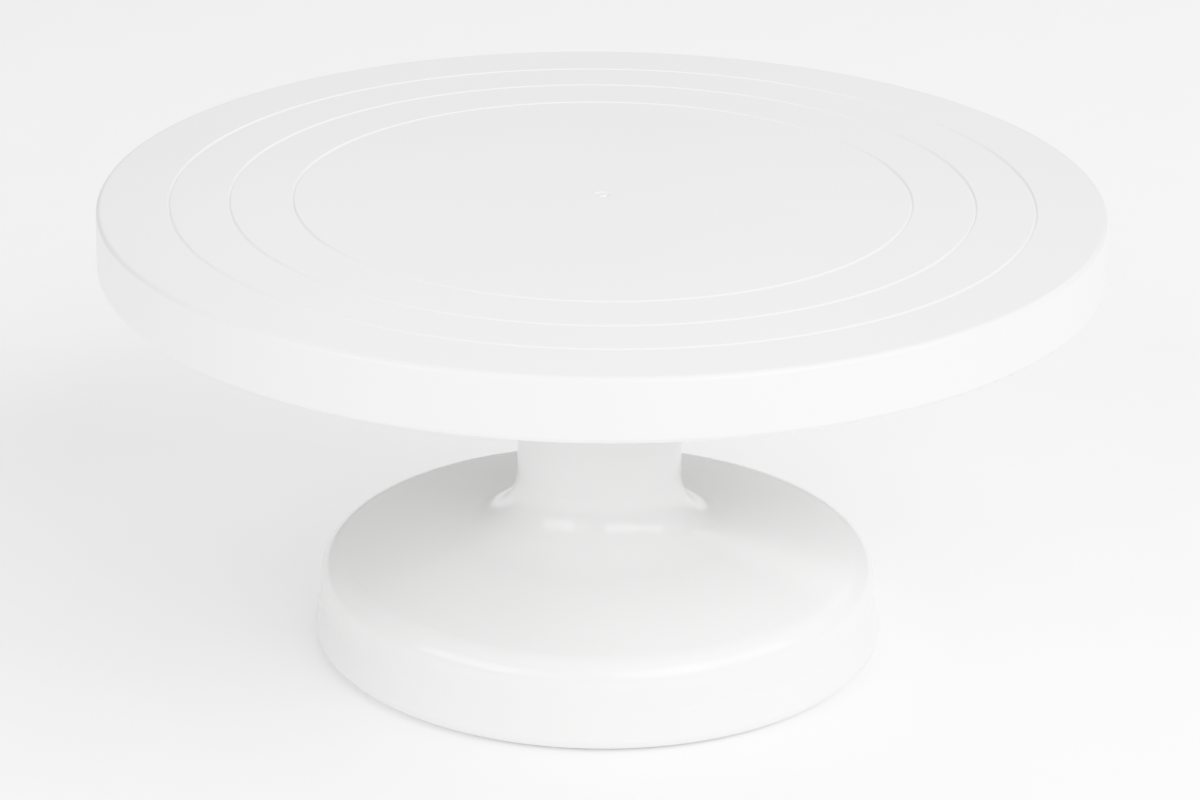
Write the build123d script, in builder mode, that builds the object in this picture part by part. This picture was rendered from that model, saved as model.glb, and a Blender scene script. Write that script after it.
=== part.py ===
from build123d import *
import math
import os

os.makedirs("parts", exist_ok=True)

# Revolving cake-decorating turntable. Millimetres, +Z up, origin on the table under the spindle's axis.
# Every round piece is centred on the Z axis. "_z" names a height, "_r" a radius.

# ---- top plate ----
plate_top_z = 146.9
plate_r = 155.0                 # at the foot of the skirt, the widest place
plate_top_r = 154.7             # the skirt leans in by the moulding draft
plate_deck = 3.0                # thickness of the flat disc
skirt_height = 19.3
skirt_wall = 2.6
plate_edge_round = 1.6
skirt_foot_round = 1.5
ring_groove_radii = (132.7, 114.4, 95.0)
ring_groove_half_width = 0.6
ring_groove_depth = 0.5
centre_pip_r = 1.25
centre_moat_r = 2.6
centre_moat_depth = 0.35
centre_pip_flank = 0.2          # how far the pip's side leans outward over the depth of the moat
rib_height = 6.0
rib_width = 1.8
rib_count = 12
rib_root = 0.5                  # how far a rib's end runs into the wall it joins
ring_rib_radii = (62.0, 108.0)
hub_rim_r = 24.0                # ring under the plate that locates the hub flange
hub_rim_wall = 2.0
hub_rim_lift = 0.5              # the ring stops this far above the flange's lower face
collar_gap = 0.6                # around the spindle's head, under the plate
collar_wall = 1.8

# ---- hub flange, spindle and the screws between plate and flange ----
hub_flange_thick = 3.0
hub_flange_r = 21.8
hub_flange_chamfer = 0.4
hub_boss_r = 12.0
hub_boss_length = 6.0
hub_screw_circle_r = 16.0
hub_screw_count = 4
spindle_r = 6.0
spindle_head_r = 8.0
spindle_head_thick = 2.5
spindle_foot_z = 42.0
spindle_foot_chamfer = 1.0
spindle_head_chamfer = 0.5
cross_pin_r = 1.5
cross_pin_chamfer = 0.3
cross_pin_recess = 0.3          # each end stands this far inside the boss
drill_overrun = 1.0             # how far a cross hole's cutter starts outside the boss

# ---- thrust ball bearing ----
ball_r = 2.0
ball_count = 12
ball_circle_r = 11.0
ball_gap = 0.3                  # between a ball and its race
race_thick = 2.0
race_half_gap = 1.7             # from the balls' centres to the flat of each race
race_outer_r = 15.5
race_chamfer = 0.25
upper_race_bore_r = 6.1
lower_race_bore_r = 6.6
cage_thick = 1.6
cage_inner_r = 7.6
cage_outer_r = 14.6
cage_pocket_gap = 0.12

# ---- bushes, washer and clip ----
bush_r = 9.0
running_gap = 0.05              # radial clearance between spindle and bushes
upper_bush_length = 14.0
lower_bush_foot_z = 50.0
lower_bush_length = 12.0
bush_flange_r = 11.4
bush_flange_thick = 2.0
washer_r = 10.0
washer_thick = 1.2
washer_chamfer = 0.2
end_play = 0.3
clip_thick = 1.1
clip_outer_r = 8.6
clip_groove_r = 5.2
clip_groove_width = 1.2
clip_bore_gap = 0.05            # around the floor of the groove
clip_mouth_deg = 80.0
clip_tip_round = 0.4

# ---- base shell ----
shell_foot_z = 1.0              # the rubber feet lift the shell this far off the table
shell_wall = 2.6
lip_r = 90.55
lip_round = 3.75
base_wall_r = 88.35
wall_kink_z = 13.6              # where the flared lip meets the upright wall
shoulder_foot_z = 20.75
shoulder_round = 8.35
neck_r = 25.9
neck_fillet = 19.0              # hollow round between the neck and the cone of the base
neck_fillet_z = 55.0            # where that round ends and the upright neck begins
neck_gap = 1.2                  # from the neck's mouth up to the heads of the hub screws
neck_mouth_r = 17.5
neck_edge_round = 1.2

# ---- bearing tower inside the neck ----
tower_tube_r = 14.0
tower_bore_r = 12.0             # below the lower bush, wide enough for the clip and its tool
tower_rim_r = 23.0
tower_rib_count = 6
tower_rib_width = 2.2
tower_rib_root = 1.0            # how far a rib's end runs into the tube
tower_deck = 3.0
tower_flange_r = 46.0
tower_flange_z = 24.0
tower_flange_thick = 3.0
tower_screw_circle_r = 40.0

# ---- cover and feet ----
cover_r = 85.0
cover_z = 3.0
cover_thick = 2.4
cover_screw_circle_r = 70.0
cover_rim_height = 3.0
cover_rim_wall = 2.0
foot_circle_r = 72.0
foot_r = 9.0
foot_side_gap = 0.2             # between a foot and the side of its seat
foot_tread_inset = 1.0          # the part that touches the table is this much narrower
foot_tread_height = 1.0
foot_seat_depth = 0.6
foot_stem_r = 2.5
foot_barb_r = 3.4
foot_barb_tip_r = 1.9
foot_barb_height = 2.2

# ---- screws and their bosses ----
screw_count = 4
screw_shank_r = 1.75
screw_head_r = 3.2
screw_head_height = 1.8
screw_crown_r = 2.1             # the flat in the middle of the head
screw_crown_height = 1.0
screw_point_r = 0.4
screw_point_length = 1.2
screw_slot_width = 0.9
screw_slot_half = 2.0
screw_slot_depth = 1.0
boss_r = 4.2
hole_gap = 0.25                 # around a screw's shank where it passes through
thread_bite_gap = 0.03          # around a screw's shank in its boss
tower_pilot_depth = 5.6
cover_pilot_depth = 14.0
screw_tip_gap = 0.6             # from a screw's tip to the end of its pilot hole

# ---- heights that follow from those above ----
plate_under_z = plate_top_z - plate_deck
plate_mid_z = plate_top_z - plate_deck / 2      # what stands under the disc is rooted this high
skirt_foot_z = plate_top_z - skirt_height
rib_foot_z = plate_under_z - rib_height
hub_flange_top_z = rib_foot_z
hub_flange_foot_z = hub_flange_top_z - hub_flange_thick
hub_boss_foot_z = hub_flange_foot_z - hub_boss_length
cross_pin_z = hub_boss_foot_z + hub_boss_length / 2
upper_race_z = hub_boss_foot_z - race_thick
ball_z = upper_race_z - race_half_gap
lower_race_z = ball_z - race_half_gap - race_thick
tower_top_z = lower_race_z
bush_bore_r = spindle_r + running_gap
washer_z = lower_bush_foot_z - bush_flange_thick - end_play - washer_thick
clip_groove_z = washer_z - clip_groove_width
screw_head_z = hub_flange_foot_z - screw_head_height
neck_top_z = screw_head_z - neck_gap
boss_start_deg = 45.0           # hub and cover screws stand between the tower screws and the feet
match_gap = 0.01                # two heights or radii closer than this are the same edge


def save(builder, name):
    """Names a finished piece and writes it."""
    builder.part.label = name
    export_step(builder.part, f"parts/{name}.step")


def ring_profile(inner_r, outer_r, low_z, high_z):
    """A rectangle in the open sketch of the XZ plane, from one radius and height to another."""
    with Locations(((inner_r + outer_r) / 2, (low_z + high_z) / 2)):
        Rectangle(outer_r - inner_r, high_z - low_z)


def make_ring(inner_r, outer_r, low_z, high_z, edge=0.0):
    """A plain ring about the Z axis, with its outer edges chamfered if an edge size is given."""
    with BuildPart() as ring:
        with BuildSketch(Plane.XZ):
            ring_profile(inner_r, outer_r, low_z, high_z)
        revolve(axis=Axis.Z)
        if edge > 0:
            chamfer(ring.edges().filter_by(GeomType.CIRCLE), edge)
    return ring


def make_screws(circle_r, count, start_deg, head_z, shank_top_z):
    """Pan-head screws that point up, heads below, on one circle about the Z axis."""
    neck_z = head_z + screw_head_height
    with BuildPart() as screws:
        with PolarLocations(circle_r, count, start_angle=start_deg):
            with BuildSketch(Plane.XZ, mode=Mode.PRIVATE) as half:
                with BuildLine():
                    Polyline(
                        (0, head_z),
                        (screw_crown_r, head_z),
                        (screw_head_r, head_z + screw_crown_height),
                        (screw_head_r, neck_z),
                        (screw_shank_r, neck_z),
                        (screw_shank_r, shank_top_z - screw_point_length),
                        (screw_point_r, shank_top_z),
                        (0, shank_top_z),
                        close=True,
                    )
                make_face()
            add(revolve(half.sketch, axis=Axis.Z, mode=Mode.PRIVATE))
        with BuildSketch(Plane.XY.offset(head_z)):
            with PolarLocations(circle_r, count, start_angle=start_deg):
                Rectangle(2 * screw_slot_half, screw_slot_width)
                Rectangle(screw_slot_width, 2 * screw_slot_half)
        extrude(amount=screw_slot_depth, mode=Mode.SUBTRACT)
    return screws


# ================= top plate =================

def make_top_plate():
    inner_r = plate_r - skirt_wall
    inner_top_r = plate_top_r - skirt_wall
    with BuildPart() as plate:
        # disc and skirt in one profile, open below
        with BuildSketch(Plane.XZ):
            with BuildLine():
                Polyline(
                    (0, plate_under_z),
                    (0, plate_top_z),
                    (plate_top_r, plate_top_z),
                    (plate_r, skirt_foot_z),
                    (inner_r, skirt_foot_z),
                    (inner_top_r, plate_under_z),
                    close=True,
                )
            make_face()
        revolve(axis=Axis.Z)
        rims = plate.edges().filter_by(GeomType.CIRCLE)
        fillet(rims.filter_by(lambda e: abs(e.center().Z - plate_top_z) < match_gap), plate_edge_round)
        rims = plate.edges().filter_by(GeomType.CIRCLE)
        foot_edges = rims.filter_by(lambda e: abs(e.center().Z - skirt_foot_z) < match_gap)
        fillet(foot_edges.sort_by(lambda e: e.radius)[-1], skirt_foot_round)
        # radial ribs under the disc, then the two ring ribs that cross them
        with BuildSketch(Plane.XY.offset(rib_foot_z)):
            with PolarLocations((hub_rim_r + inner_top_r) / 2, rib_count):
                Rectangle(inner_top_r - hub_rim_r + 2 * rib_root, rib_width)
        extrude(amount=plate_mid_z - rib_foot_z)
        for rib_r in ring_rib_radii:
            with BuildSketch(Plane.XY.offset(rib_foot_z)):
                Circle(rib_r + rib_width / 2)
                Circle(rib_r - rib_width / 2, mode=Mode.SUBTRACT)
            extrude(amount=plate_mid_z - rib_foot_z)
        # ring that the hub flange drops into, and the collar around the spindle's head
        hub_rim_foot_z = hub_flange_foot_z + hub_rim_lift
        with BuildSketch(Plane.XY.offset(hub_rim_foot_z)):
            Circle(hub_rim_r)
            Circle(hub_rim_r - hub_rim_wall, mode=Mode.SUBTRACT)
        extrude(amount=plate_mid_z - hub_rim_foot_z)
        with BuildSketch(Plane.XY.offset(hub_flange_top_z)):
            Circle(spindle_head_r + collar_gap + collar_wall)
            Circle(spindle_head_r + collar_gap, mode=Mode.SUBTRACT)
            with PolarLocations(hub_screw_circle_r, hub_screw_count, start_angle=boss_start_deg):
                Circle(boss_r)
        extrude(amount=plate_mid_z - hub_flange_top_z)
        # pilot holes for the hub screws, blind so that nothing shows on top
        with BuildSketch(Plane.XY.offset(hub_flange_top_z)):
            with PolarLocations(hub_screw_circle_r, hub_screw_count, start_angle=boss_start_deg):
                Circle(screw_shank_r + thread_bite_gap)
        extrude(amount=rib_height, mode=Mode.SUBTRACT)
        # three V-shaped rings cut in the top
        for groove_r in ring_groove_radii:
            with BuildSketch(Plane.XZ):
                with BuildLine():
                    Polyline(
                        (groove_r - ring_groove_half_width, plate_top_z),
                        (groove_r, plate_top_z - ring_groove_depth),
                        (groove_r + ring_groove_half_width, plate_top_z),
                        close=True,
                    )
                make_face()
            revolve(axis=Axis.Z, mode=Mode.SUBTRACT)
        # small centre mark: a pip standing in a shallow moat, its top level with the plate
        with BuildSketch(Plane.XZ):
            with BuildLine():
                Polyline(
                    (centre_pip_r, plate_top_z),
                    (centre_pip_r + centre_pip_flank, plate_top_z - centre_moat_depth),
                    (centre_moat_r, plate_top_z),
                    close=True,
                )
            make_face()
        revolve(axis=Axis.Z, mode=Mode.SUBTRACT)
    return plate


# ================= hub flange, pin and spindle =================

def make_hub_flange():
    with BuildPart() as hub:
        with BuildSketch(Plane.XZ):
            ring_profile(spindle_r, hub_flange_r, hub_flange_foot_z, hub_flange_top_z)
            ring_profile(spindle_r, hub_boss_r, hub_boss_foot_z, hub_flange_foot_z)
        revolve(axis=Axis.Z)
        rims = hub.edges().filter_by(GeomType.CIRCLE)
        chamfer(rims.filter_by(lambda e: abs(e.radius - hub_flange_r) < match_gap), hub_flange_chamfer)
        with BuildSketch(Plane.XY.offset(hub_flange_foot_z)):
            with PolarLocations(hub_screw_circle_r, hub_screw_count, start_angle=boss_start_deg):
                Circle(screw_shank_r + hole_gap)
        extrude(amount=hub_flange_thick, mode=Mode.SUBTRACT)
        with BuildSketch(Plane.YZ.offset(-hub_boss_r - drill_overrun)):
            with Locations((0, cross_pin_z)):
                Circle(cross_pin_r + thread_bite_gap)
        extrude(amount=2 * (hub_boss_r + drill_overrun), mode=Mode.SUBTRACT)
    return hub


def make_cross_pin():
    half_length = hub_boss_r - cross_pin_recess
    with BuildPart() as pin:
        with BuildSketch(Plane.YZ.offset(-half_length)):
            with Locations((0, cross_pin_z)):
                Circle(cross_pin_r)
        extrude(amount=2 * half_length)
        chamfer(pin.edges().filter_by(GeomType.CIRCLE), cross_pin_chamfer)
    return pin


def make_spindle():
    head_z = hub_flange_top_z
    crown_z = head_z + spindle_head_thick
    with BuildPart() as spindle:
        with BuildSketch(Plane.XZ):
            with BuildLine():
                Polyline(
                    (0, spindle_foot_z),
                    (spindle_r - spindle_foot_chamfer, spindle_foot_z),
                    (spindle_r, spindle_foot_z + spindle_foot_chamfer),
                    (spindle_r, clip_groove_z),
                    (clip_groove_r, clip_groove_z),
                    (clip_groove_r, clip_groove_z + clip_groove_width),
                    (spindle_r, clip_groove_z + clip_groove_width),
                    (spindle_r, head_z),
                    (spindle_head_r, head_z),
                    (spindle_head_r, crown_z - spindle_head_chamfer),
                    (spindle_head_r - spindle_head_chamfer, crown_z),
                    (0, crown_z),
                    close=True,
                )
            make_face()
        revolve(axis=Axis.Z)
        with BuildSketch(Plane.YZ.offset(-spindle_head_r)):
            with Locations((0, cross_pin_z)):
                Circle(cross_pin_r + thread_bite_gap)
        extrude(amount=2 * spindle_head_r, mode=Mode.SUBTRACT)
    return spindle


# ================= thrust ball bearing =================

def make_race(bore_r, low_z):
    """A flat ring with a round track that keeps the same gap all round the balls."""
    with BuildPart() as race:
        with BuildSketch(Plane.XZ):
            ring_profile(bore_r, race_outer_r, low_z, low_z + race_thick)
        revolve(axis=Axis.Z)
        chamfer(race.edges().filter_by(GeomType.CIRCLE), race_chamfer)
        with BuildSketch(Plane.XZ):
            with Locations((ball_circle_r, ball_z)):
                Circle(ball_r + ball_gap)
        revolve(axis=Axis.Z, mode=Mode.SUBTRACT)
    return race


def make_cage():
    with BuildPart() as cage:
        with BuildSketch(Plane.XZ):
            ring_profile(cage_inner_r, cage_outer_r, ball_z - cage_thick / 2, ball_z + cage_thick / 2)
        revolve(axis=Axis.Z)
        with BuildSketch(Plane.XY.offset(ball_z - cage_thick)):
            with PolarLocations(ball_circle_r, ball_count):
                Circle(ball_r + cage_pocket_gap)
        extrude(amount=2 * cage_thick, mode=Mode.SUBTRACT)
    return cage


def make_balls():
    with BuildPart() as balls:
        with Locations((0, 0, ball_z)):
            with PolarLocations(ball_circle_r, ball_count):
                Sphere(ball_r)
    return balls


# ================= bushes, washer, clip =================

def make_upper_bush():
    low_z = tower_top_z - upper_bush_length
    return make_ring(bush_bore_r, bush_r, low_z, tower_top_z)


def make_lower_bush():
    bush_flange_z = lower_bush_foot_z - bush_flange_thick
    with BuildPart() as bush:
        with BuildSketch(Plane.XZ):
            ring_profile(bush_bore_r, bush_r, lower_bush_foot_z, lower_bush_foot_z + lower_bush_length)
            ring_profile(bush_bore_r, bush_flange_r, bush_flange_z, lower_bush_foot_z)
        revolve(axis=Axis.Z)
    return bush


def make_clip():
    """A spring clip in the spindle's groove: a ring with one open mouth."""
    low_z = clip_groove_z + (clip_groove_width - clip_thick) / 2
    with BuildPart() as clip:
        with BuildSketch(Plane.XY.offset(low_z)):
            Circle(clip_outer_r)
            Circle(clip_groove_r + clip_bore_gap, mode=Mode.SUBTRACT)
            reach = 2 * clip_outer_r
            half_mouth = math.radians(clip_mouth_deg / 2)
            with BuildLine():
                Polyline(
                    (0, 0),
                    (reach * math.cos(half_mouth), reach * math.sin(half_mouth)),
                    (reach * math.cos(half_mouth), -reach * math.sin(half_mouth)),
                    close=True,
                )
            make_face(mode=Mode.SUBTRACT)
        extrude(amount=clip_thick)
        fillet(clip.edges().filter_by(Axis.Z).sort_by(Axis.X)[-4:], clip_tip_round)
    return clip


# ================= bearing tower =================

def make_tower():
    flange_top_z = tower_flange_z + tower_flange_thick
    with BuildPart() as tower:
        # tube, top deck and foot flange
        with BuildSketch(Plane.XZ):
            ring_profile(bush_r, tower_tube_r, lower_bush_foot_z, tower_top_z)
            ring_profile(tower_bore_r, tower_tube_r, tower_flange_z, lower_bush_foot_z)
            ring_profile(bush_r, tower_rim_r, tower_top_z - tower_deck, tower_top_z)
            ring_profile(tower_bore_r, tower_flange_r, tower_flange_z, flange_top_z)
        revolve(axis=Axis.Z)
        # ribs from the tube to the inside of the neck
        tower_rib_start_r = tower_tube_r - tower_rib_root
        with BuildSketch(Plane.XY.offset(flange_top_z)):
            with PolarLocations((tower_rib_start_r + tower_rim_r) / 2, tower_rib_count):
                Rectangle(tower_rim_r - tower_rib_start_r, tower_rib_width)
        extrude(amount=tower_top_z - tower_deck - flange_top_z)
        with BuildSketch(Plane.XY.offset(tower_flange_z)):
            with PolarLocations(tower_screw_circle_r, screw_count):
                Circle(screw_shank_r + hole_gap)
        extrude(amount=tower_flange_thick, mode=Mode.SUBTRACT)
    return tower


# ================= base shell =================

def cone_slope():
    """Slope in degrees of the cone that touches both the shoulder's arc and the neck's fillet."""
    across = base_wall_r - shoulder_round - neck_r - neck_fillet
    rise = neck_fillet_z - shoulder_foot_z
    reach = math.acos((shoulder_round + neck_fillet) / math.hypot(across, rise))
    return math.degrees(reach - math.atan2(across, rise))


def arc_point(centre, radius, deg):
    """A point on a circle of the XZ plane; 0 degrees is outward and 90 is up."""
    turn = math.radians(deg)
    return centre[0] + radius * math.cos(turn), centre[1] + radius * math.sin(turn)


def make_base_shell():
    shoulder_centre = (base_wall_r - shoulder_round, shoulder_foot_z)
    fillet_centre = (neck_r + neck_fillet, neck_fillet_z)
    # the shoulder's arc turns from 0 to shoulder_end, the fillet's from fillet_end to 180
    shoulder_end = 90 - cone_slope()
    fillet_end = 180 + shoulder_end
    lip_foot_r = lip_r - lip_round
    inner_wall_r = base_wall_r - shell_wall
    neck_inner_r = neck_r - shell_wall
    deck_z = neck_top_z - shell_wall
    inner_fillet = neck_fillet + shell_wall
    inner_shoulder = shoulder_round - shell_wall

    with BuildPart() as shell:
        with BuildSketch(Plane.XZ):
            with BuildLine():
                # outside, from the foot up to the neck's mouth
                ThreePointArc(
                    (lip_foot_r, shell_foot_z),
                    arc_point((lip_foot_r, shell_foot_z + lip_round), lip_round, -45),
                    (lip_r, shell_foot_z + lip_round),
                )
                Polyline(
                    (lip_r, shell_foot_z + lip_round),
                    (base_wall_r, wall_kink_z),
                    (base_wall_r, shoulder_foot_z),
                )
                ThreePointArc(
                    (base_wall_r, shoulder_foot_z),
                    arc_point(shoulder_centre, shoulder_round, shoulder_end / 2),
                    arc_point(shoulder_centre, shoulder_round, shoulder_end),
                )
                Line(
                    arc_point(shoulder_centre, shoulder_round, shoulder_end),
                    arc_point(fillet_centre, neck_fillet, fillet_end),
                )
                ThreePointArc(
                    arc_point(fillet_centre, neck_fillet, fillet_end),
                    arc_point(fillet_centre, neck_fillet, (fillet_end + 180) / 2),
                    (neck_r, neck_fillet_z),
                )
                Polyline(
                    (neck_r, neck_fillet_z),
                    (neck_r, neck_top_z),
                    (neck_mouth_r, neck_top_z),
                    (neck_mouth_r, deck_z),
                    (neck_inner_r, deck_z),
                    (neck_inner_r, neck_fillet_z),
                )
                # inside, back down to the foot, one wall thickness away
                ThreePointArc(
                    (neck_inner_r, neck_fillet_z),
                    arc_point(fillet_centre, inner_fillet, (fillet_end + 180) / 2),
                    arc_point(fillet_centre, inner_fillet, fillet_end),
                )
                Line(
                    arc_point(fillet_centre, inner_fillet, fillet_end),
                    arc_point(shoulder_centre, inner_shoulder, shoulder_end),
                )
                ThreePointArc(
                    arc_point(shoulder_centre, inner_shoulder, shoulder_end),
                    arc_point(shoulder_centre, inner_shoulder, shoulder_end / 2),
                    (inner_wall_r, shoulder_foot_z),
                )
                Polyline(
                    (inner_wall_r, shoulder_foot_z),
                    (inner_wall_r, shell_foot_z),
                    (lip_foot_r, shell_foot_z),
                )
            make_face()
        revolve(axis=Axis.Z)
        rims = shell.edges().filter_by(GeomType.CIRCLE)
        mouth = rims.filter_by(lambda e: abs(e.center().Z - neck_top_z) < match_gap)
        fillet(mouth.sort_by(lambda e: e.radius)[-1], neck_edge_round)
        # bosses for the tower's screws, and between them those for the cover's screws
        flange_top_z = tower_flange_z + tower_flange_thick
        with BuildSketch(Plane.XY.offset(flange_top_z)):
            with PolarLocations(tower_screw_circle_r, screw_count):
                Circle(boss_r)
        extrude(until=Until.NEXT)
        cover_top_z = cover_z + cover_thick
        with BuildSketch(Plane.XY.offset(cover_top_z)):
            with PolarLocations(cover_screw_circle_r, screw_count, start_angle=boss_start_deg):
                Circle(boss_r)
        extrude(until=Until.NEXT)
        # pilot holes
        with BuildSketch(Plane.XY.offset(flange_top_z)):
            with PolarLocations(tower_screw_circle_r, screw_count):
                Circle(screw_shank_r + thread_bite_gap)
        extrude(amount=tower_pilot_depth, mode=Mode.SUBTRACT)
        with BuildSketch(Plane.XY.offset(cover_top_z)):
            with PolarLocations(cover_screw_circle_r, screw_count, start_angle=boss_start_deg):
                Circle(screw_shank_r + thread_bite_gap)
        extrude(amount=cover_pilot_depth, mode=Mode.SUBTRACT)
    return shell


# ================= cover and feet =================

def make_cover():
    top_z = cover_z + cover_thick
    with BuildPart() as cover:
        with BuildSketch(Plane.XY.offset(cover_z)):
            Circle(cover_r)
        extrude(amount=cover_thick)
        # upstanding rim just inside the shell's wall, to stiffen the edge
        with BuildSketch(Plane.XY.offset(top_z)):
            Circle(cover_r)
            Circle(cover_r - cover_rim_wall, mode=Mode.SUBTRACT)
        extrude(amount=cover_rim_height)
        with BuildSketch(Plane.XY.offset(cover_z)):
            with PolarLocations(cover_screw_circle_r, screw_count, start_angle=boss_start_deg):
                Circle(screw_shank_r + hole_gap)
            with PolarLocations(foot_circle_r, screw_count):
                Circle(foot_stem_r)
        extrude(amount=cover_thick, mode=Mode.SUBTRACT)
        with BuildSketch(Plane.XY.offset(cover_z)):
            with PolarLocations(foot_circle_r, screw_count):
                Circle(foot_r)
        extrude(amount=foot_seat_depth, mode=Mode.SUBTRACT)
    return cover


def make_feet():
    """Round rubber pads with a barbed stem through the cover."""
    seat_z = cover_z + foot_seat_depth
    barb_z = cover_z + cover_thick
    side_r = foot_r - foot_side_gap
    with BuildPart() as feet:
        with PolarLocations(foot_circle_r, screw_count):
            with BuildSketch(Plane.XZ, mode=Mode.PRIVATE) as half:
                with BuildLine():
                    Polyline(
                        (0, 0),
                        (side_r - foot_tread_inset, 0),
                        (side_r, foot_tread_height),
                        (side_r, seat_z),
                        (foot_stem_r, seat_z),
                        (foot_stem_r, barb_z),
                        (foot_barb_r, barb_z),
                        (foot_barb_tip_r, barb_z + foot_barb_height),
                        (0, barb_z + foot_barb_height),
                        close=True,
                    )
                make_face()
            add(revolve(half.sketch, axis=Axis.Z, mode=Mode.PRIVATE))
    return feet


# ================= build and save =================

save(make_top_plate(), "top_plate")
save(make_hub_flange(), "hub_flange")
hub_tip_z = hub_flange_top_z + rib_height - screw_tip_gap
hub_screws = make_screws(hub_screw_circle_r, hub_screw_count, boss_start_deg, screw_head_z, hub_tip_z)
save(hub_screws, "hub_screws")
save(make_cross_pin(), "cross_pin")
save(make_spindle(), "spindle")
save(make_race(upper_race_bore_r, upper_race_z), "upper_race")
save(make_cage(), "ball_cage")
save(make_balls(), "bearing_balls")
save(make_race(lower_race_bore_r, lower_race_z), "lower_race")
save(make_upper_bush(), "upper_bush")
save(make_lower_bush(), "lower_bush")
washer_top_z = washer_z + washer_thick
save(make_ring(bush_bore_r, washer_r, washer_z, washer_top_z, edge=washer_chamfer), "thrust_washer")
save(make_clip(), "retaining_clip")
save(make_tower(), "bearing_tower")
tower_head_z = tower_flange_z - screw_head_height
tower_tip_z = tower_flange_z + tower_flange_thick + tower_pilot_depth - screw_tip_gap
tower_screws = make_screws(tower_screw_circle_r, screw_count, 0, tower_head_z, tower_tip_z)
save(tower_screws, "tower_screws")
save(make_base_shell(), "base_shell")
save(make_cover(), "base_cover")
cover_head_z = cover_z - screw_head_height
cover_tip_z = cover_z + cover_thick + cover_pilot_depth - screw_tip_gap
cover_screws = make_screws(cover_screw_circle_r, screw_count, boss_start_deg, cover_head_z, cover_tip_z)
save(cover_screws, "cover_screws")
save(make_feet(), "rubber_feet")
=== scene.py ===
import bpy
import math
from mathutils import Matrix, Vector

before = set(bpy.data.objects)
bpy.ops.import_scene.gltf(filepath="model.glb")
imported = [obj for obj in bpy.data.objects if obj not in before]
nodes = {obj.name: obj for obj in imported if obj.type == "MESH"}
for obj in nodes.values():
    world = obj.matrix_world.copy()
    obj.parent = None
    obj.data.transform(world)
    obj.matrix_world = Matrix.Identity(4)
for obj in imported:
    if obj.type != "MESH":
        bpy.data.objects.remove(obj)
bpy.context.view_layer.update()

# Looks, floor, lamps and camera of the turntable. Metres and watts; names ending in _DEG or _deg are degrees.
# The stand is on the origin and its front faces -Y, where the camera is.

# ---------------------------------------------------------------- camera
FOCAL_MM = 112.66
SENSOR_MM = 36.0
CAMERA_BACK = 1.0959         # in front of the spindle's axis
CAMERA_HEIGHT = 0.5178
CAMERA_PITCH = 0.3811        # radians below the horizon
CAMERA_ROLL = -0.0114        # radians
CAMERA_CLIP_END = 50


def look_matrix(place, pitch, roll):
    """A camera at place that looks along +Y, tipped down by pitch and rolled by roll."""
    forward = Vector((0, math.cos(pitch), -math.sin(pitch)))
    right = Vector((1, 0, 0))
    down = forward.cross(right)
    rolled_right = math.cos(roll) * right + math.sin(roll) * down
    rolled_down = -math.sin(roll) * right + math.cos(roll) * down
    turn = Matrix((rolled_right, -rolled_down, -forward)).transposed()
    return Matrix.Translation(place) @ turn.to_4x4()


def add_camera():
    data = bpy.data.cameras.new("camera")
    data.sensor_fit = "HORIZONTAL"
    data.sensor_width = SENSOR_MM
    data.lens = FOCAL_MM
    data.clip_end = CAMERA_CLIP_END
    camera = bpy.data.objects.new("camera", data)
    bpy.context.scene.collection.objects.link(camera)
    place = Vector((0, -CAMERA_BACK, CAMERA_HEIGHT))
    camera.matrix_world = look_matrix(place, CAMERA_PITCH, CAMERA_ROLL)
    bpy.context.scene.camera = camera


add_camera()


# ---------------------------------------------------------------- material helpers
def new_material(name):
    material = bpy.data.materials.new(name)
    material.use_nodes = True
    tree = material.node_tree
    shader = tree.nodes["Principled BSDF"]
    return material, tree, shader


def object_coords(tree):
    return tree.nodes.new("ShaderNodeTexCoord").outputs["Object"]


def noise(tree, coords, scale, detail, roughness=0.5):
    node = tree.nodes.new("ShaderNodeTexNoise")
    node.inputs["Scale"].default_value = scale
    node.inputs["Detail"].default_value = detail
    node.inputs["Roughness"].default_value = roughness
    tree.links.new(coords, node.inputs["Vector"])
    return node.outputs["Fac"]


def spread(tree, value, from_range, to_range):
    """Maps the middle of a noise, from_range, onto to_range."""
    node = tree.nodes.new("ShaderNodeMapRange")
    node.inputs["From Min"].default_value = from_range[0]
    node.inputs["From Max"].default_value = from_range[1]
    node.inputs["To Min"].default_value = to_range[0]
    node.inputs["To Max"].default_value = to_range[1]
    tree.links.new(value, node.inputs["Value"])
    return node.outputs["Result"]


def tint(tree, value, dark, light):
    """A colour that drifts between two near tones."""
    ramp = tree.nodes.new("ShaderNodeValToRGB")
    for element, position, tone in zip(ramp.color_ramp.elements, NOISE_MIDDLE, (dark, light)):
        element.position = position
        element.color = (*tone, 1)
    tree.links.new(value, ramp.inputs["Fac"])
    return ramp.outputs["Color"]


def add_bump(tree, shader, height, strength, distance):
    bump = tree.nodes.new("ShaderNodeBump")
    bump.inputs["Strength"].default_value = strength
    bump.inputs["Distance"].default_value = distance
    tree.links.new(height, bump.inputs["Height"])
    tree.links.new(bump.outputs["Normal"], shader.inputs["Normal"])


# ---------------------------------------------------------------- materials
NOISE_MIDDLE = (0.3, 0.7)       # most of a noise's values lie between these
GLOSS_WEAR_RANGE = (0.35, 0.75)
PLASTIC_IOR = 1.49
WHITE_DARK = (0.80, 0.80, 0.795)
WHITE_LIGHT = (0.83, 0.83, 0.826)
EVEN_GRAIN = (1, 1, 1)
TURNED_GRAIN = (0.1, 0.1, 2.0)  # noise squeezed along Z reads as tool marks round the axis


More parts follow.
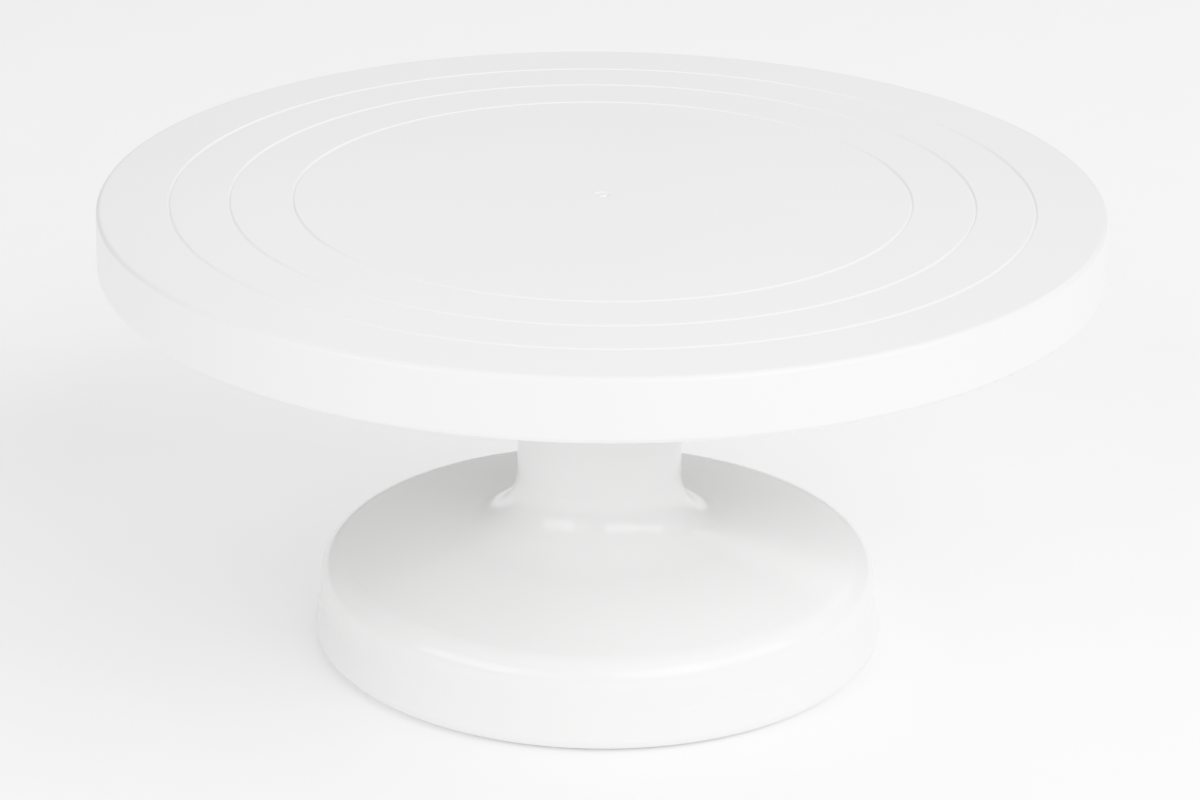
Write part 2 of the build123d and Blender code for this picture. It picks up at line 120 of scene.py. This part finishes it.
def white_plastic(name, rough):
    """Moulded white plastic: a very faint ripple, a fine uneven gloss and a slight drift of tone."""
    material, tree, shader = new_material(name)
    coords = object_coords(tree)
    ripple = noise(tree, coords, scale=55, detail=3)
    wear = noise(tree, coords, scale=420, detail=6, roughness=0.65)
    patch = noise(tree, coords, scale=9, detail=2)
    tree.links.new(tint(tree, patch, WHITE_DARK, WHITE_LIGHT), shader.inputs["Base Color"])
    tree.links.new(spread(tree, wear, GLOSS_WEAR_RANGE, rough), shader.inputs["Roughness"])
    shader.inputs["IOR"].default_value = PLASTIC_IOR
    add_bump(tree, shader, ripple, strength=0.03, distance=0.0004)
    return material


def matt_plastic(name, dark, light, rough, grain_scale):
    """Plastic or rubber with a fine grain in its surface."""
    material, tree, shader = new_material(name)
    coords = object_coords(tree)
    grain = noise(tree, coords, grain_scale, detail=5, roughness=0.6)
    patch = noise(tree, coords, scale=14, detail=2)
    tree.links.new(tint(tree, patch, dark, light), shader.inputs["Base Color"])
    tree.links.new(spread(tree, grain, NOISE_MIDDLE, rough), shader.inputs["Roughness"])
    add_bump(tree, shader, grain, strength=0.25, distance=0.0002)
    return material


def metal(name, dark, light, rough, grain=EVEN_GRAIN):
    """Metal with fine surface marks, even or in rings, and faint stains."""
    material, tree, shader = new_material(name)
    coords = object_coords(tree)
    mapping = tree.nodes.new("ShaderNodeMapping")
    mapping.inputs["Scale"].default_value = grain
    tree.links.new(coords, mapping.inputs["Vector"])
    marks = noise(tree, mapping.outputs["Vector"], scale=900, detail=4, roughness=0.6)
    stain = noise(tree, coords, scale=60, detail=3)
    tree.links.new(tint(tree, stain, dark, light), shader.inputs["Base Color"])
    tree.links.new(spread(tree, marks, NOISE_MIDDLE, rough), shader.inputs["Roughness"])
    shader.inputs["Metallic"].default_value = 1.0
    add_bump(tree, shader, marks, strength=0.2, distance=0.0001)
    return material


base_gloss = white_plastic("white_gloss_plastic", rough=(0.15, 0.19))
plate_satin = white_plastic("white_plate_plastic", rough=(0.285, 0.33))
cover_white = matt_plastic("cover_plastic", (0.70, 0.70, 0.69), (0.76, 0.76, 0.75), (0.42, 0.62), 700)
tower_white = matt_plastic("tower_plastic", (0.64, 0.64, 0.62), (0.70, 0.70, 0.68), (0.38, 0.55), 500)
nylon = matt_plastic("cage_nylon", (0.60, 0.55, 0.42), (0.68, 0.63, 0.50), (0.35, 0.5), 900)
rubber = matt_plastic("foot_rubber", (0.055, 0.055, 0.058), (0.085, 0.085, 0.088), (0.68, 0.9), 1200)
aluminium = metal("cast_aluminium", (0.50, 0.51, 0.52), (0.62, 0.63, 0.64), (0.30, 0.48))
ground = metal("ground_steel", (0.42, 0.42, 0.43), (0.52, 0.52, 0.53), (0.16, 0.30), TURNED_GRAIN)
ball_steel = metal("ball_steel", (0.58, 0.58, 0.60), (0.66, 0.66, 0.68), (0.04, 0.10))
black_steel = metal("clip_steel", (0.03, 0.03, 0.035), (0.06, 0.06, 0.065), (0.30, 0.45))
zinc = metal("zinc_plated", (0.50, 0.50, 0.49), (0.62, 0.62, 0.60), (0.22, 0.40))
brass = metal("turned_brass", (0.52, 0.36, 0.13), (0.62, 0.44, 0.18), (0.20, 0.34), TURNED_GRAIN)

NODE_MATERIALS = {
    "top_plate": plate_satin,
    "base_shell": base_gloss,
    "base_cover": cover_white,
    "bearing_tower": tower_white,
    "ball_cage": nylon,
    "rubber_feet": rubber,
    "hub_flange": aluminium,
    "spindle": ground,
    "cross_pin": ground,
    "upper_race": ground,
    "lower_race": ground,
    "thrust_washer": ground,
    "bearing_balls": ball_steel,
    "retaining_clip": black_steel,
    "hub_screws": zinc,
    "tower_screws": zinc,
    "cover_screws": zinc,
    "upper_bush": brass,
    "lower_bush": brass,
}
for node_name, material in NODE_MATERIALS.items():
    for material_slot in nodes[node_name].material_slots:
        material_slot.material = material

# ---------------------------------------------------------------- floor
FLOOR_HALF = 6.0
FLOOR_Z = -0.0001               # just under the feet, so that the two faces don't coincide
FLOOR_DARK = (0.91, 0.91, 0.91)
FLOOR_LIGHT = (0.93, 0.93, 0.93)
FLOOR_ROUGH = (0.7, 0.85)
FLOOR_GLOW = 0.09               # lifts the paper towards white
WHITE = (1, 1, 1, 1)


def paper_material():
    material, tree, shader = new_material("floor_paper")
    fibre = noise(tree, object_coords(tree), scale=40, detail=4)
    tree.links.new(tint(tree, fibre, FLOOR_DARK, FLOOR_LIGHT), shader.inputs["Base Color"])
    tree.links.new(spread(tree, fibre, (0, 1), FLOOR_ROUGH), shader.inputs["Roughness"])
    shader.inputs["Emission Color"].default_value = WHITE
    shader.inputs["Emission Strength"].default_value = FLOOR_GLOW
    return material


def make_floor():
    corners = ((-1, -1), (1, -1), (1, 1), (-1, 1))
    mesh = bpy.data.meshes.new("floor")
    mesh.from_pydata([(x * FLOOR_HALF, y * FLOOR_HALF, FLOOR_Z) for x, y in corners], [], [(0, 1, 2, 3)])
    mesh.materials.append(paper_material())
    made = bpy.data.objects.new("floor", mesh)
    bpy.context.scene.collection.objects.link(made)
    return made


floor = make_floor()

# ---------------------------------------------------------------- lamps
LAMP_TARGET = (0, 0, 0.08)      # about the middle of the stand
LAMP_DISTANCE = 2.4
OVERHEAD_SIZE = 1.8
OVERHEAD_WATTS = 7.0
WORLD_STRENGTH = 0.1
# name, degrees round from the front (+ to the right), degrees up, width, height, watts
PANELS = (
    ("panel_left", -54, 28, 1.7, 1.0, 12.0),
    ("panel_front_left", -30, 28, 1.2, 1.0, 3.6),
    ("panel_front_right", 28, 36, 1.4, 1.3, 16.5),
    ("panel_right", 64, 40, 1.9, 1.3, 19.5),
    ("panel_far_right", 97, 32, 1.9, 1.0, 2.5),
    ("panel_back", 160, 41, 2.4, 1.3, 9.0),
)


def area_lamp(name, place, width, height, watts):
    data = bpy.data.lights.new(name, "AREA")
    data.shape = "RECTANGLE"
    data.size = width
    data.size_y = height
    data.energy = watts
    lamp = bpy.data.objects.new(name, data)
    bpy.context.scene.collection.objects.link(lamp)
    lamp.location = place
    aim = Vector(LAMP_TARGET) - Vector(place)
    lamp.rotation_euler = aim.to_track_quat("-Z", "Y").to_euler()


def lamp_place(turn_deg, up_deg):
    turn = math.radians(turn_deg)
    up = math.radians(up_deg)
    out = LAMP_DISTANCE * math.cos(up)
    return out * math.sin(turn), -out * math.cos(turn), LAMP_DISTANCE * math.sin(up)


for name, turn_deg, up_deg, width, height, watts in PANELS:
    area_lamp(name, lamp_place(turn_deg, up_deg), width, height, watts)
area_lamp("overhead", (0, 0, LAMP_DISTANCE), OVERHEAD_SIZE, OVERHEAD_SIZE, OVERHEAD_WATTS)

world = bpy.data.worlds.new("studio")
bpy.context.scene.world = world
world.use_nodes = True
background = world.node_tree.nodes["Background"]
background.inputs["Color"].default_value = WHITE
background.inputs["Strength"].default_value = WORLD_STRENGTH

# ---------------------------------------------------------------- tone
TONE_STEPS = 10
TONE_SHOULDER = 2.5             # how early bright tones start to flatten
COMBINED_CURVE = 3


def roll_off(x):
    """0 stays 0 and 1 stays 1; between them the tones rise fast and then flatten towards white."""
    return (1 - math.exp(-TONE_SHOULDER * x)) / (1 - math.exp(-TONE_SHOULDER))


view_settings = bpy.context.scene.view_settings
view_settings.view_transform = "Standard"
view_settings.use_curve_mapping = True
tone_points = view_settings.curve_mapping.curves[COMBINED_CURVE].points
for step in range(1, TONE_STEPS):
    tone_points.new(step / TONE_STEPS, roll_off(step / TONE_STEPS))
view_settings.curve_mapping.update()
